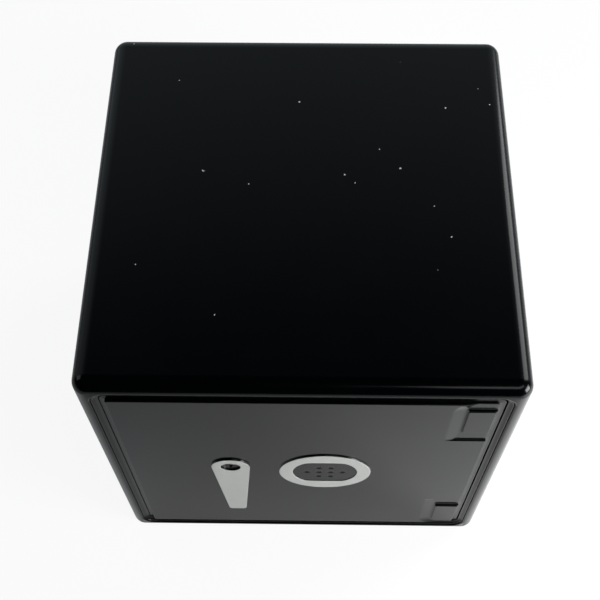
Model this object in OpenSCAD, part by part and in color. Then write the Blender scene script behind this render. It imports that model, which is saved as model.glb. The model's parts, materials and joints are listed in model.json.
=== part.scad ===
// Toy safe coin bank: a one-piece cabinet shell with a front frame pressed into it, an inset
// door on two hinge pins, a turning lever that works a latch arm, and a moulded keypad.
// Millimetres. +X is right, +Z is up and the front faces -Y.
// The origin is on the floor, under the middle of the whole object.

/* [Cabinet] */
// Width of the cabinet
body_w = 100; // [96:1:110]
// Depth of the cabinet, front plane to back
body_d = 100; // [80:1:120]
// Height of the cabinet
body_h = 100; // [96:1:110]
// Rounding of the cabinet's outer edges
edge_r = 3.5; // [2.5:0.1:3.8]
// Wall thickness, which is also the width of the rim round the front
wall = 3.6; // [3.4:0.1:4]
// Depth of the channel between the rim and the door's raised panel
channel_depth = 1; // [0.8:0.05:1]
// Width of the slope from the rim down to the channel's floor
channel_slope = 0.9; // [0.5:0.05:0.95]

/* [Door] */
// Distance from the cabinet's outside to the door's raised panel
door_margin = 6.7; // [6.3:0.1:7]
// Width of the step round the raised panel, level with the channel's floor
door_step = 1.1; // [0.8:0.05:1.15]
// Gap between the door and the opening
door_gap = 0.3; // [0.2:0.05:0.4]
// Gap at the hinge, where the door's edge swings past the opening
hinge_gap = 0.6; // [0.6:0.05:0.7]
// Thickness of the door
door_t = 7; // [6.8:0.1:7.2]
// Thickness of the door's front skin
skin_t = 2.2; // [2:0.1:2.4]

/* [Lever handle] */
// Pivot, left of the middle of the door
lever_x = -18.1; // [-20:0.1:-16]
// Pivot, above the middle of the door
lever_dz = 3.3; // [0:0.1:6]
// Radius of the lever's round head
lever_head_r = 4.85; // [4.6:0.05:5.2]
// Distance from the pivot to the lever's lower end
lever_reach = 33.7; // [28:0.1:36]
// Width of the lever's lower end
lever_tip_w = 4.8; // [4:0.1:6]
// Thickness of the lever's blade
lever_t = 0.45; // [0.4:0.05:1]

/* [Keypad] */
// Middle of the keypad, right of the middle of the door
keypad_x = 5.7; // [4:0.1:8]
// Outer radius of the keypad's ring
bezel_r = 11.6; // [10:0.1:12]
// Height of the ring above the door
bezel_t = 0.4; // [0.3:0.05:0.5]
// Distance between neighbouring dimples
dimple_pitch = 3; // [2.6:0.1:3.2]

/* [Hinge] */
// Distance from the hinge axis to the door's edge
hinge_inset = 3.3; // [3:0.1:3.4]
// Depth of the hinge axis behind the front plane
hinge_depth = 3.2; // [3:0.1:3.4]
// Radius of the hinge pins
hinge_pin_r = 0.9; // [0.8:0.05:1]
// Distance of each hinge block from the middle of the door
block_dz = 33.6; // [32:0.1:34]
// Height of a hinge block
block_h = 12.3; // [11:0.1:12.6]
// Width of a hinge block
block_w = 6.1; // [5.6:0.1:6.2]

/* [Coin slot] */
// Length of the coin slot in the back
slot_w = 34; // [30:1:38]
// Height of the coin slot
slot_h = 4.6; // [3.6:0.1:5]
// Height of the coin slot's middle above the floor
slot_z = 80; // [60:1:84]

/* [Hidden] */
$fn = 64;

eps = 0.01;            // overlap of a cut past a face
cut = 1;               // how far a cut runs past an open face
slip = 0.02;           // clearance of fixed parts in their holes
running = 0.05;        // clearance of turning parts in their holes
bar_steps = 20;        // steps in each round end of a tapered bar

black = "#141516";
dark_grey = "#3c3f40";
light_grey = "#b4b6b4";
steel = "#9a9da0";

mid_z = body_h / 2;
lever_gap = 0.05;                               // lever blade to door face
front_proud = lever_t + lever_gap;              // furthest part in front of the front plane
front_y = -(body_d - front_proud) / 2;

door_w = body_w - 2 * door_margin;
door_h = body_h - 2 * door_margin;
door_edge_r = 0.8;
step_w = door_w + 2 * door_step;                // the door's full width and height
step_h = door_h + 2 * door_step;
opening_x0 = -step_w / 2 - door_gap;
opening_x1 = step_w / 2 + hinge_gap;
opening_w = opening_x1 - opening_x0;
opening_h = step_h + 2 * door_gap;
inner_w = body_w - 2 * wall;
inner_h = body_h - 2 * wall;
inner_corner_r = 4;                             // corners of the shell's inside and of the frame
frame_slip = 0.05;                              // front frame to shell
slope_flat = 0.1;

stop_y = door_t + 0.4;                          // front of the lip that the door closes on
stop_t = 1.6;
stop_w = 2.2;
stop_x1 = door_w / 2 - 9.8;                     // ends of the lip, clear of the hinge
frame_y = stop_y + stop_t;                      // back of the front frame
post_w = 5;                                     // corner posts that the frame is pushed against
post_y = 24;

beam_w = 11.8;                                  // solid edge of the door at the hinge
door_wall = 2.2;
liner_t = 1.6;
liner_y = door_t - liner_t;
cavity_x0 = -door_w / 2 + door_wall;
cavity_x1 = door_w / 2 - beam_w;
cavity_h = door_h - 2 * door_wall;

hinge_x = door_w / 2 - hinge_inset;
pin_z0 = mid_z + block_dz - 1.4;                // inner end of the upper pin
pin_z1 = mid_z + opening_h / 2 + 3.2;           // outer end of the upper pin
pin_shelf = 9;                                  // length of bore that the pin is pushed into

pocket_w = 9.8;
pocket_h = 21.4;
pocket_depth = 1;
pocket_slope = 2.7;
pocket_corner_r = 4;
block_y = -0.2;
block_x0 = door_w / 2 - 0.3 - block_w;
block_edge_r = 0.6;
block_boss_r = 2.2;
block_boss_y = 5;
block_boss_z = mid_z + block_dz - 3.9;          // boss, below the upper block's middle

lever_z = mid_z + lever_dz;
hub_r = 4.2;
hub_y = 2;
hub_gap = 0.08;
handle_hole_r = 2.5;
handle_screw_y = 1.25;                          // seat of the handle screw's head
spindle_r = 2.94;
spindle_y = 2.1;
bush_r = 4;
bush_y = 2.5;
bush_flange_r = 5.4;
bush_flange_t = 0.6;
collar_y = door_t + 1.2;
arm_y = frame_y + 0.5;
arm_t = 1.5;
arm_head_r = 5.5;
arm_tip_r = 3;
arm_reach = 27;
arm_angle = 225;                                // rest direction of the arm, from +X towards +Z
spindle_square = 4.4;
bush_boss_r = 6;
collar_r = 4.4;
stop_post_r = 1.2;
stop_post_at = 14;
stop_post_angles = [155, 250];

plate_r = 8.1;
plate_h = 13.3;
plate_t = 0.25;
dimple_r = 0.65;
dimple_depth = 0.15;
dimple_rows = [[1, 2], [0, 4], [-1, 2]];        // row number and dimples in the row
bezel_peg_r = 1;
bezel_peg_at = 9.9;
peg_end_y = skin_t + 0.8;
nut_r = 2.3;
nut_t = 0.4;

small_screw_r = 0.9;                            // liner, hinge block and latch screws
small_head_r = 2;
liner_head_t = 0.9;
block_head_t = 1.1;
screw_hole_r = 1.1;                             // clearance hole of a small screw
screw_seat_r = 2.2;                             // counterbore for a small screw's head
screw_seat_t = 1.2;
liner_boss_r = 2.6;
handle_screw_r = 1.1;
handle_head_r = 2.4;
handle_head_t = 1.1;
latch_head_r = 3;
latch_head_t = 1.4;
washer_r0 = 3.1;
washer_r1 = 4.7;
washer_t = 0.24;

function unit(a) = [cos(a), sin(a)];

// Turns an outline drawn in X and Z into a plate from y0 to y1.
module upright(y0, y1) {
    translate([0, y1, 0]) rotate([90, 0, 0]) linear_extrude(y1 - y0) children();
}

// Moves a sub-part from the front plane's coordinates to the object's own.
module placed() { translate([0, front_y, 0]) children(); }

// A cylinder along +Y from y0 to y1.
module rod(x, z, r, y0, y1) { translate([x, y1, z]) rotate([90, 0, 0]) cylinder(r = r, h = y1 - y0); }

// A rectangle with round corners, on its own middle.
module round_rect(w, h, r) {
    square([w - 2 * r, h], center = true);
    square([w, h - 2 * r], center = true);
    for (sx = [-1, 1], sy = [-1, 1])
        translate([sx * (w / 2 - r), sy * (h / 2 - r)]) circle(r);
}

// An outline round two circles and their outer tangents. The first circle is at the origin,
// the second along +X.
module tapered_bar(r1, r2, length) {
    a = acos((r1 - r2) / length);
    polygon([
        for (i = [0 : bar_steps]) r1 * unit(a + (360 - 2 * a) * i / bar_steps),
        for (i = [0 : bar_steps]) [length, 0] + r2 * unit(-a + 2 * a * i / bar_steps)
    ]);
}

// The double-D outline of the keypad.
module keypad_outline(clear) {
    intersection() {
        circle(plate_r + clear);
        square([3 * plate_r, plate_h + 2 * clear], center = true);
    }
}

// A screw along +Y: head at y0, tip at y1, with a cross recess in the head.
module screw(x, z, head_r, head_t, shank_r, y0, y1) {
    translate([x, 0, z]) difference() {
        union() {
            rod(0, 0, head_r, y0, y0 + head_t);
            rod(0, 0, shank_r, y0 + head_t - eps, y1);
        }
        for (w = [[head_r * 1.3, head_r * 0.28], [head_r * 0.28, head_r * 1.3]])
            upright(y0 - cut, y0 + head_t * 0.5) square(w, center = true);
    }
}

// The same screw seen from the back: its head is at y1.
module back_screw(x, z, head_r, head_t, shank_r, y0, y1) {
    translate([0, y0 + y1, 0]) mirror([0, 1, 0]) screw(x, z, head_r, head_t, shank_r, y0, y1);
}

module cabinet_block() {
    intersection() {
        translate([0, body_d / 2, 0]) linear_extrude(body_h) round_rect(body_w, body_d, edge_r);
        upright(0, body_d) translate([0, mid_z]) round_rect(body_w, body_h, edge_r);
        translate([-body_w / 2, body_d / 2, mid_z]) rotate([90, 0, 90])
            linear_extrude(body_w) round_rect(body_d, body_h, edge_r);
    }
}

// The inside of the shell, open at the front.
module cabinet_cavity() upright(-cut, body_d - wall) translate([0, mid_z])
    round_rect(inner_w, inner_h, inner_corner_r);

module corner_posts() for (sx = [-1, 1], sz = [-1, 1])
    upright(frame_y + frame_slip, post_y)
        translate([sx * (inner_w - post_w) / 2, mid_z + sz * (inner_h - post_w) / 2])
            square(post_w + eps, center = true);

// The blind holes that take the outer ends of the hinge pins.
module pin_sockets() for (end = [0, 1]) at_hinge_end(end)
    translate([hinge_x, hinge_depth, mid_z]) cylinder(r = hinge_pin_r + running, h = pin_z1 + 0.3 - mid_z);

module cabinet_shell() color(black) placed() {
    difference() {
        cabinet_block();
        cabinet_cavity();
        pin_sockets();
        upright(body_d - wall - cut, body_d + cut) translate([0, slot_z])
            round_rect(slot_w, slot_h, slot_h / 2 - eps);
    }
    corner_posts();
}

module frame_outline() translate([0, mid_z])
    round_rect(inner_w - 2 * frame_slip, inner_h - 2 * frame_slip, inner_corner_r);

// Four wedges that lead from the rim down to the channel's floor. A narrow flat ends them at
// the shell's wall.
module channel_slopes() intersection() {
    upright(channel_depth - channel_slope + slope_flat, channel_depth + eps) frame_outline();
    translate([0, channel_depth, mid_z]) for (turn = [0 : 90 : 270]) rotate([0, turn, 0])
        translate([inner_w / 2 - frame_slip, 0, -inner_h / 2]) linear_extrude(inner_h)
            polygon([[-channel_slope, 0], [cut, -channel_slope - cut], [cut, cut], [-channel_slope, cut]]);
}

// The frame that the door closes in. Its lip stays clear of the door's hinge edge,
// which swings back past it.
module front_frame() color(black) placed() {
    difference() {
        upright(channel_depth, frame_y) frame_outline();
        upright(0, stop_y) translate([opening_x0, mid_z - opening_h / 2]) square([opening_w, opening_h]);
        upright(0, frame_y + cut) {
            translate([opening_x0 + stop_w, mid_z - opening_h / 2 + stop_w])
                square([opening_w - stop_w, opening_h - 2 * stop_w]);
            translate([stop_x1, mid_z - opening_h / 2]) square([opening_x1 - stop_x1, opening_h]);
        }
        pin_sockets();
    }
    channel_slopes();
}

// Puts the upper hinge's parts at the upper end (0) or mirrored to the lower end (1).
module at_hinge_end(end) {
    if (end == 0) children();
    else translate([0, 0, body_h]) mirror([0, 0, 1]) children();
}

// The raised panel on the wider slab that fills the opening.
module door_slab() {
    upright(0, door_t) translate([0, mid_z]) round_rect(door_w, door_h, door_edge_r);
    upright(channel_depth, door_t) translate([0, mid_z]) round_rect(step_w, step_h, door_edge_r);
}

// The shallow pocket round a hinge block. Its floor slopes in from the left.
module hinge_pocket() {
    x0 = door_w / 2 - pocket_w;
    x1 = door_w / 2 + door_step;
    z0 = mid_z + door_h / 2 - pocket_h;
    z1 = mid_z + door_h / 2;
    intersection() {
        upright(-cut, pocket_depth) {
            translate([x0, z0]) square([x1 - x0, pocket_h - pocket_corner_r]);
            translate([x0 + pocket_corner_r, z0]) square([x1 - x0 - pocket_corner_r, pocket_h + door_step]);
            translate([x0 + pocket_corner_r, z1 - pocket_corner_r]) circle(pocket_corner_r);
        }
        translate([0, 0, z0 - cut]) linear_extrude(pocket_h + 3 * cut)
            polygon([[x0, -cut], [x0, 0], [x0 + pocket_slope, pocket_depth],
                [x1, pocket_depth], [x1, -cut]]);
    }
}

function liner_screw_spots() = [for (x = [cavity_x0 + 4, cavity_x1 - 4], s = [-1, 1])
    [x, mid_z + s * (cavity_h / 2 - 4)]];

module door_panel() color(black) placed() {
    difference() {
        door_slab();
        translate([cavity_x0, skin_t, mid_z - cavity_h / 2])
            cube([cavity_x1 - cavity_x0, door_t, cavity_h]);
        rod(lever_x, lever_z, hub_r + hub_gap, -cut, skin_t + cut);
        for (s = [-1 : 1]) rod(keypad_x + s * bezel_peg_at, mid_z, bezel_peg_r + slip, -cut, skin_t + cut);
        for (end = [0, 1]) at_hinge_end(end) {
            hinge_pocket();
            translate([hinge_x, hinge_depth, pin_z0 - pin_shelf])
                cylinder(r = hinge_pin_r + slip, h = door_h);
            rod(hinge_x, block_boss_z, block_boss_r + slip, -cut, block_boss_y + 0.1);
            rod(hinge_x, block_boss_z, screw_hole_r, 0, door_t + cut);
            rod(hinge_x, block_boss_z, screw_seat_r, door_t - screw_seat_t, door_t + cut);
        }
    }
    difference() {
        rod(lever_x, lever_z, bush_boss_r, skin_t - eps, liner_y - 0.1);
        rod(lever_x, lever_z, hub_r + hub_gap, 0, bush_y - slip);
        rod(lever_x, lever_z, bush_r + slip, 0, door_t);
    }
    for (p = liner_screw_spots()) difference() {
        rod(p[0], p[1], liner_boss_r, skin_t - eps, liner_y - 0.05);
        rod(p[0], p[1], small_screw_r + slip, skin_t, door_t);
    }
}

module door_liner() color(black) placed() {
    difference() {
        translate([cavity_x0 + 0.2, liner_y, mid_z - cavity_h / 2 + 0.2])
            cube([cavity_x1 - cavity_x0 - 0.4, liner_t, cavity_h - 0.4]);
        rod(lever_x, lever_z, bush_r + slip, 0, door_t + cut);
        for (p = liner_screw_spots()) {
            rod(p[0], p[1], screw_hole_r, 0, door_t + cut);
            rod(p[0], p[1], screw_seat_r, door_t - liner_head_t, door_t + cut);
        }
    }
    for (a = stop_post_angles)
        rod(lever_x + stop_post_at * cos(a), lever_z + stop_post_at * sin(a), stop_post_r,
            door_t - eps, arm_y + arm_t);
}

module door_liner_screws() color(steel) placed()
    for (p = liner_screw_spots())
        back_screw(p[0], p[1], small_head_r, liner_head_t, small_screw_r, skin_t + 0.4, door_t);

module hinge_pin() translate([hinge_x, hinge_depth, pin_z0]) cylinder(r = hinge_pin_r, h = pin_z1 - pin_z0);

module hinge_pin_upper() color(steel) placed() at_hinge_end(0) hinge_pin();

module hinge_pin_lower() color(steel) placed() at_hinge_end(1) hinge_pin();

// A block that sits in the pocket. Its boss goes through the door and holds the pin out.
module hinge_block() difference() {
    union() {
        translate([0, 0, mid_z + block_dz - block_h / 2]) linear_extrude(block_h) {
            translate([block_x0, block_y + block_edge_r])
                square([block_w, pocket_depth - block_y - block_edge_r - eps]);
            translate([block_x0 + block_edge_r, block_y])
                square([block_w - 2 * block_edge_r, block_edge_r + eps]);
            for (x = [block_x0 + block_edge_r, block_x0 + block_w - block_edge_r])
                translate([x, block_y + block_edge_r]) circle(block_edge_r);
        }
        rod(hinge_x, block_boss_z, block_boss_r, pocket_depth - 0.1, block_boss_y);
    }
    rod(hinge_x, block_boss_z, small_screw_r + slip, pocket_depth + 0.6, door_t);
}

module hinge_block_upper() color(black) placed() at_hinge_end(0) hinge_block();

module hinge_block_lower() color(black) placed() at_hinge_end(1) hinge_block();

module hinge_block_screws() color(steel) placed() for (end = [0, 1]) at_hinge_end(end)
    back_screw(hinge_x, block_boss_z, small_head_r, block_head_t, small_screw_r, skin_t, door_t - 0.1);

module keypad_bezel() color(light_grey) placed() translate([keypad_x, 0, mid_z]) {
    upright(-bezel_t, 0) difference() {
        circle(bezel_r);
        keypad_outline(0.05);
    }
    for (s = [-1, 1]) rod(s * bezel_peg_at, 0, bezel_peg_r, -eps, peg_end_y);
}

module keypad_plate() color(dark_grey) placed() translate([keypad_x, 0, mid_z]) {
    difference() {
        upright(-plate_t, 0) keypad_outline(0);
        for (row = dimple_rows, i = [0 : row[1] - 1])
            rod((i - (row[1] - 1) / 2) * dimple_pitch, row[0] * dimple_pitch, dimple_r,
                -plate_t - cut, -plate_t + dimple_depth);
    }
    rod(0, 0, bezel_peg_r, -eps, peg_end_y);
}

// Push-on nuts that hold the ring's and the plate's pegs behind the door's skin.
module keypad_push_nuts() color(steel) placed() for (s = [-1 : 1]) difference() {
    rod(keypad_x + s * bezel_peg_at, mid_z, nut_r, skin_t + slip, skin_t + nut_t);
    rod(keypad_x + s * bezel_peg_at, mid_z, bezel_peg_r + slip, skin_t - cut, skin_t + cut);
}

module handle_lever() color(light_grey) placed() translate([lever_x, 0, lever_z]) difference() {
    tip_r = 1;
    half = lever_tip_w / 2 - tip_r;
    reach = lever_reach - tip_r;
    spread = atan((lever_head_r - lever_tip_w / 2) / reach);
    union() {
        upright(-front_proud, -lever_gap) {
            circle(lever_head_r);
            polygon([[lever_head_r * cos(spread), -lever_head_r * sin(spread)],
                [half + tip_r * cos(spread), -reach - tip_r * sin(spread)],
                [half, -lever_reach], [-half, -lever_reach],
                [-half - tip_r * cos(spread), -reach - tip_r * sin(spread)],
                [-lever_head_r * cos(spread), -lever_head_r * sin(spread)]]);
            for (s = [-1, 1]) translate([s * half, -reach]) circle(tip_r);
        }
        rod(0, 0, hub_r, -lever_gap - eps, hub_y);
    }
    rod(0, 0, handle_hole_r, -front_proud - cut, handle_screw_y);
    rod(0, 0, handle_screw_r + 0.2, 0, hub_y + cut);
}

module handle_screw() color(dark_grey) placed()
    screw(lever_x, lever_z, handle_head_r, handle_head_t, handle_screw_r,
        handle_screw_y - handle_head_t, door_t - 0.5);

module latch_spindle() color(dark_grey) placed() translate([lever_x, 0, lever_z]) difference() {
    union() {
        rod(0, 0, spindle_r, spindle_y, collar_y + eps);
        rod(0, 0, collar_r, collar_y, arm_y - slip);
        upright(arm_y - 0.1, arm_y + arm_t) rotate(arm_angle) square(spindle_square, center = true);
    }
    rod(0, 0, handle_screw_r + slip, 0, door_t);
    rod(0, 0, small_screw_r + slip, arm_y - 1.4, arm_y + arm_t + cut);
}

module spindle_bush() color(light_grey) placed() translate([lever_x, 0, lever_z]) difference() {
    union() {
        rod(0, 0, bush_r, bush_y, door_t + bush_flange_t);
        rod(0, 0, bush_flange_r, door_t + slip, door_t + bush_flange_t);
    }
    rod(0, 0, spindle_r + running, 0, door_t + cut);
}

// A dished spring washer that keeps the lever where it is put.
module wave_washer() color(steel) placed() translate([lever_x, door_t + bush_flange_t + 0.04, lever_z])
    rotate([-90, 0, 0]) rotate_extrude()
        polygon([[washer_r0, washer_t], [washer_r1, 0], [washer_r1, washer_t], [washer_r0, 2 * washer_t]]);

module latch_arm() color(steel) placed() translate([lever_x, 0, lever_z]) upright(arm_y, arm_y + arm_t)
    rotate(arm_angle) difference() {
        tapered_bar(arm_head_r, arm_tip_r, arm_reach - arm_tip_r);
        square(spindle_square + 0.04, center = true);
    }

module latch_screw() color(steel) placed()
    back_screw(lever_x, lever_z, latch_head_r, latch_head_t, small_screw_r, arm_y - 1.2,
        arm_y + arm_t + latch_head_t);

cabinet_shell();
front_frame();
door_panel();
door_liner();
door_liner_screws();
hinge_pin_upper();
hinge_pin_lower();
hinge_block_upper();
hinge_block_lower();
hinge_block_screws();
keypad_bezel();
keypad_plate();
keypad_push_nuts();
handle_lever();
handle_screw();
latch_spindle();
spindle_bush();
wave_washer();
latch_arm();
latch_screw();
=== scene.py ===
"""Toy safe coin bank: smooth moulded shells, finishes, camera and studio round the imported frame.

Lengths are in metres, in the frame's own axes: +X right, +Z up, the front faces -Y. "Depth" is
measured from the front plane of the cabinet towards the back.
"""
import json
import math

import bpy
import numpy as np
from bpy.props import FloatProperty, FloatVectorProperty, PointerProperty
from mathutils import Matrix, Vector


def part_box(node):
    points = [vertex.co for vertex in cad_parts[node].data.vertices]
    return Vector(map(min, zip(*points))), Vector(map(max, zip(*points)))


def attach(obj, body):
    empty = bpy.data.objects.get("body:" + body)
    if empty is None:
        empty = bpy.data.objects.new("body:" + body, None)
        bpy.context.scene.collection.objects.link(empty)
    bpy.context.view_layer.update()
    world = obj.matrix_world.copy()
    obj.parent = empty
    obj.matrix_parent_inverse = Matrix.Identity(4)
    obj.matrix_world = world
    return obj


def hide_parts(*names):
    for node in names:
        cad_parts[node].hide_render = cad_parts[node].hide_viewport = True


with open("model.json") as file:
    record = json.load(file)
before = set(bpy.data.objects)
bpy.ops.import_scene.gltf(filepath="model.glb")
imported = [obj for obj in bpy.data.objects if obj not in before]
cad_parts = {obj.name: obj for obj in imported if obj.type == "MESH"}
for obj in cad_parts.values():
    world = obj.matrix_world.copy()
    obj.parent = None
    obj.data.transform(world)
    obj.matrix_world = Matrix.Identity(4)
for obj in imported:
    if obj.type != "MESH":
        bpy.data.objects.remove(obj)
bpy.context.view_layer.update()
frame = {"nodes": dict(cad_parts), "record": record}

bl_info = {
    "name": "Toy Safe Coin Bank",
    "version": (1, 0, 0),
    "blender": (4, 5, 0),
    "location": "View3D > Sidebar > Coin Bank",
    "description": "Builds the smooth shells, finishes and studio of a toy safe coin bank",
    "category": "Object",
}

MM = 0.001
SUPPORT = 0.06 * MM          # strip beside a rounding that keeps the flat next to it flat
TINY = 0.004 * MM            # stands in for nothing where a radius or a gap can't be nothing
DOOR_GAP = 0.3 * MM          # door to jamb
HINGE_GAP = 0.6 * MM         # the same at the hinge, where the door's edge swings past
LIP_WIDTH, LIP_DEPTH = 2.2 * MM, 7.4 * MM      # the lip that the door closes on
LIP_END = 33.5 * MM          # where the lip ends, clear of the hinge
LIP_SHARE = 0.45             # reach of the step's edge away from the hinge, as a share
BLIND_HOLE = 2.2 * MM        # depth of the hub's hole in the visible front of the door
SMALLEST_FACE = 1e-14        # square metres, doubled


def box_of(node):
    """Lowest and highest corner of a CAD node as numpy rows."""
    low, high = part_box(node)
    return np.array(low), np.array(high)


CABINET_LOW, CABINET_HIGH = box_of("cabinet_shell")
CABINET_WIDTH, CABINET_DEPTH, CABINET_HEIGHT = CABINET_HIGH - CABINET_LOW
FRONT = CABINET_LOW[1]
MIDDLE = (CABINET_LOW[2] + CABINET_HIGH[2]) / 2


# ---------------------------------------------------------------- settings

def length(name, default, description, low=0.0, high=0.1):
    """A length in metres for a PropertyGroup."""
    return FloatProperty(name=name, description=description, default=default, min=low, max=high,
                         unit="LENGTH", subtype="DISTANCE", precision=5)


def colour(name, default, description):
    """A linear RGB colour for a PropertyGroup."""
    return FloatVectorProperty(name=name, description=description, default=default, size=3,
                               min=0.0, max=1.0, subtype="COLOR")


def share(name, default, description, high=1.0):
    """A plain number from 0 for a PropertyGroup."""
    return FloatProperty(name=name, description=description, default=default, min=0.0, max=high)


class CoinBankCabinet(bpy.types.PropertyGroup):
    """Shapes of the cabinet and its front frame."""
    edge_round: length("Edge Rounding", 3.5 * MM, "Rounding of the cabinet's outer edges")
    rim_round: length("Rim Rounding", 0.6 * MM, "Rounding of the rim's inner edge")
    rim_corner: length("Rim Corner", 4.0 * MM, "Corner radius of the opening in the rim")
    wall: length("Wall", 3.6 * MM, "Thickness of the cabinet's walls")
    slope_round: length("Slope Rounding", 1.0 * MM, "Hollow rounding at the channel slope's foot")
    jamb_round: length("Jamb Rounding", 0.12 * MM, "Rounding of the edge that faces the door")
    jamb_corner: length("Jamb Corner", 2.0 * MM, "Corner radius of the opening round the door")
    slot_width: length("Slot Width", 34.0 * MM, "Length of the coin slot")
    slot_height: length("Slot Height", 4.6 * MM, "Height of the coin slot")
    slot_round: length("Slot Rounding", 0.5 * MM, "Rounding of the coin slot's edges")


class CoinBankDoor(bpy.types.PropertyGroup):
    """Shapes of the door and the hinge blocks."""
    edge_round: length("Edge Rounding", 0.3 * MM, "Rounding of the raised panel's edges")
    step_width: length("Step Width", 1.1 * MM, "Width of the step round the raised panel")
    hinge_lip: length("Hinge Lip", 0.4 * MM, "How far the step's edge reaches out at the hinge")
    step_depth: length("Step Depth", 1.0 * MM, "Depth of the step behind the panel's face")
    hub_hole: length("Hub Hole", 4.28 * MM, "Radius of the hole that the lever's hub turns in")
    corner: length("Corner", 0.8 * MM, "Corner radius of the door")
    pocket_width: length("Pocket Width", 9.8 * MM, "Width of a hinge pocket")
    pocket_height: length("Pocket Height", 21.4 * MM, "Height of a hinge pocket")
    pocket_depth: length("Pocket Depth", 0.45 * MM, "Depth of a hinge pocket")
    pocket_slope: length("Pocket Slope", 2.7 * MM, "Width of the slope at the pocket's left")
    pocket_corner: length("Pocket Corner", 4.0 * MM, "Outer corner radius of a pocket")
    block_flare: length("Block Flare", 0.85 * MM, "Hollow rounding where a block meets its pocket")
    block_round: length("Block Rounding", 0.22 * MM, "Rounding of a hinge block's front edges")


class CoinBankFittings(bpy.types.PropertyGroup):
    """Shapes of the lever and the keypad."""
    lever_round: length("Lever Rounding", 0.12 * MM, "Rounding of the lever's front edge")
    tip_width: length("Tip Width", 4.8 * MM, "Width of the lever's lower end")
    tip_corner: length("Tip Corner", 1.0 * MM, "Corner radius of the lever's lower end")
    foot_flare: length("Foot Flare", 0.2 * MM, "Hollow rounding at the foot of the raised parts")
    ring_round: length("Ring Rounding", 0.12 * MM, "Rounding of the keypad ring's edges")
    dimple_radius: length("Dimple Radius", 0.72 * MM, "Radius of a keypad dimple")
    dimple_depth: length("Dimple Depth", 0.2 * MM, "Depth of a keypad dimple")
    dimple_pitch: length("Dimple Pitch", 3.0 * MM, "Distance between neighbouring dimples")
    paint_edge: length("Paint Edge", 0.10 * MM, "How far the face paint reaches down the edges")


class CoinBankFinish(bpy.types.PropertyGroup):
    """Colours and gloss."""
    black: colour("Black Plastic", (0.0004, 0.0006, 0.0008), "Colour of the moulded shells")
    black_gloss: share("Black Roughness", 0.13, "Roughness of the moulded shells")
    reflect: share("Black Reflection", 0.11, "Specular level of the moulded shells")
    paint: colour("Face Paint", (0.385, 0.395, 0.38), "Paint on the raised faces")
    keypad: colour("Keypad", (0.005, 0.0055, 0.0055), "Colour of the keypad's plate")
    dust: share("Dust", 0.55, "How bright the dust specks on the top are")
    steel: colour("Steel", (0.55, 0.56, 0.57), "Colour of the plated steel")


class CoinBankStage(bpy.types.PropertyGroup):
    """Camera, floor and light."""
    lens: FloatProperty(name="Lens", description="Focal length of the camera",
                        default=61.30, min=20, max=200, unit="CAMERA")
    pitch: FloatProperty(name="Pitch", description="How far the camera looks down",
                         default=1.066, min=0, max=1.57, subtype="ANGLE")
    heading: FloatProperty(name="Heading", description="How far the camera is turned to the right",
                           default=-0.0221, min=-3.15, max=3.15, subtype="ANGLE")
    roll: FloatProperty(name="Roll", description="How far the camera leans",
                        default=0.0102, min=-0.5, max=0.5, subtype="ANGLE")
    camera_right: share("Camera Right", 0.0177, "Camera place, in cabinet heights from the middle")
    camera_forward: share("Camera Forward", 0.8783,
                          "Camera place, in cabinet heights before the front", 9)
    camera_above: share("Camera Above", 1.990, "Camera place, in cabinet heights above the top", 9)
    floor: colour("Floor", (0.86, 0.86, 0.86), "Colour of the floor")
    floor_front: length("Floor Front", 0.27, "How far the floor reaches in front of the object",
                        high=4.0)
    backdrop: colour("Backdrop", (0.93, 0.93, 0.93), "What shows beyond the floor")


GROUPS = {
    "bank_cabinet": CoinBankCabinet,
    "bank_door": CoinBankDoor,
    "bank_fittings": CoinBankFittings,
    "bank_finish": CoinBankFinish,
    "bank_stage": CoinBankStage,
}


# ---------------------------------------------------------------- surfaces

class Outline:
    """Matched places round a rectangle with round corners.

    Going round, each place is a share (from -1 to 1) of the half width and of the half height of
    the corner centres' rectangle, plus a direction in which it lies one corner radius further
    out. A ring of any width, height and corner radius has the same places in the same order, so
    rings of different sizes join into even strips of quads.
    """

    def __init__(self, corner_steps=10, side_shares=(0.003, 0.25, 0.5, 0.75, 0.997)):
        quarter = np.linspace(0.0, math.pi / 2, corner_steps + 1)
        corners = [(1, 1), (-1, 1), (-1, -1), (1, -1)]
        across, up, turn = [], [], []
        for index, corner in enumerate(corners):
            following = corners[(index + 1) % 4]
            ahead = np.array(side_shares)
            for shares, start, stop in zip((across, up), corner, following):
                shares.extend([np.full(len(quarter), start), start + (stop - start) * ahead])
            turn += [quarter + index * math.pi / 2, np.full(len(ahead), (index + 1) * math.pi / 2)]
        self.across = np.concatenate(across)
        self.up = np.concatenate(up)
        turn = np.concatenate(turn)
        self.out = np.stack([np.cos(turn), np.sin(turn)], axis=1)

    def ring(self, width, height, radius, depth, centre=(0.0, 0.0)):
        """One ring of points (x, y, z) at a depth behind the front plane."""
        x = centre[0] + self.across * (width / 2 - radius) + self.out[:, 0] * radius
        z = centre[1] + self.up * (height / 2 - radius) + self.out[:, 1] * radius
        return upright(x, np.full_like(x, depth), z)


def upright(x, depth, z):
    """Points from x, depth behind the front plane and height above the door's middle."""
    return np.stack([x, FRONT + depth, MIDDLE + z], axis=-1)


def arc(start, end, steps):
    """Sine and cosine of evenly spaced angles in degrees, both ends included."""
    angles = np.radians(np.linspace(start, end, steps + 1))
    return list(zip(np.sin(angles), np.cos(angles)))


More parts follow.
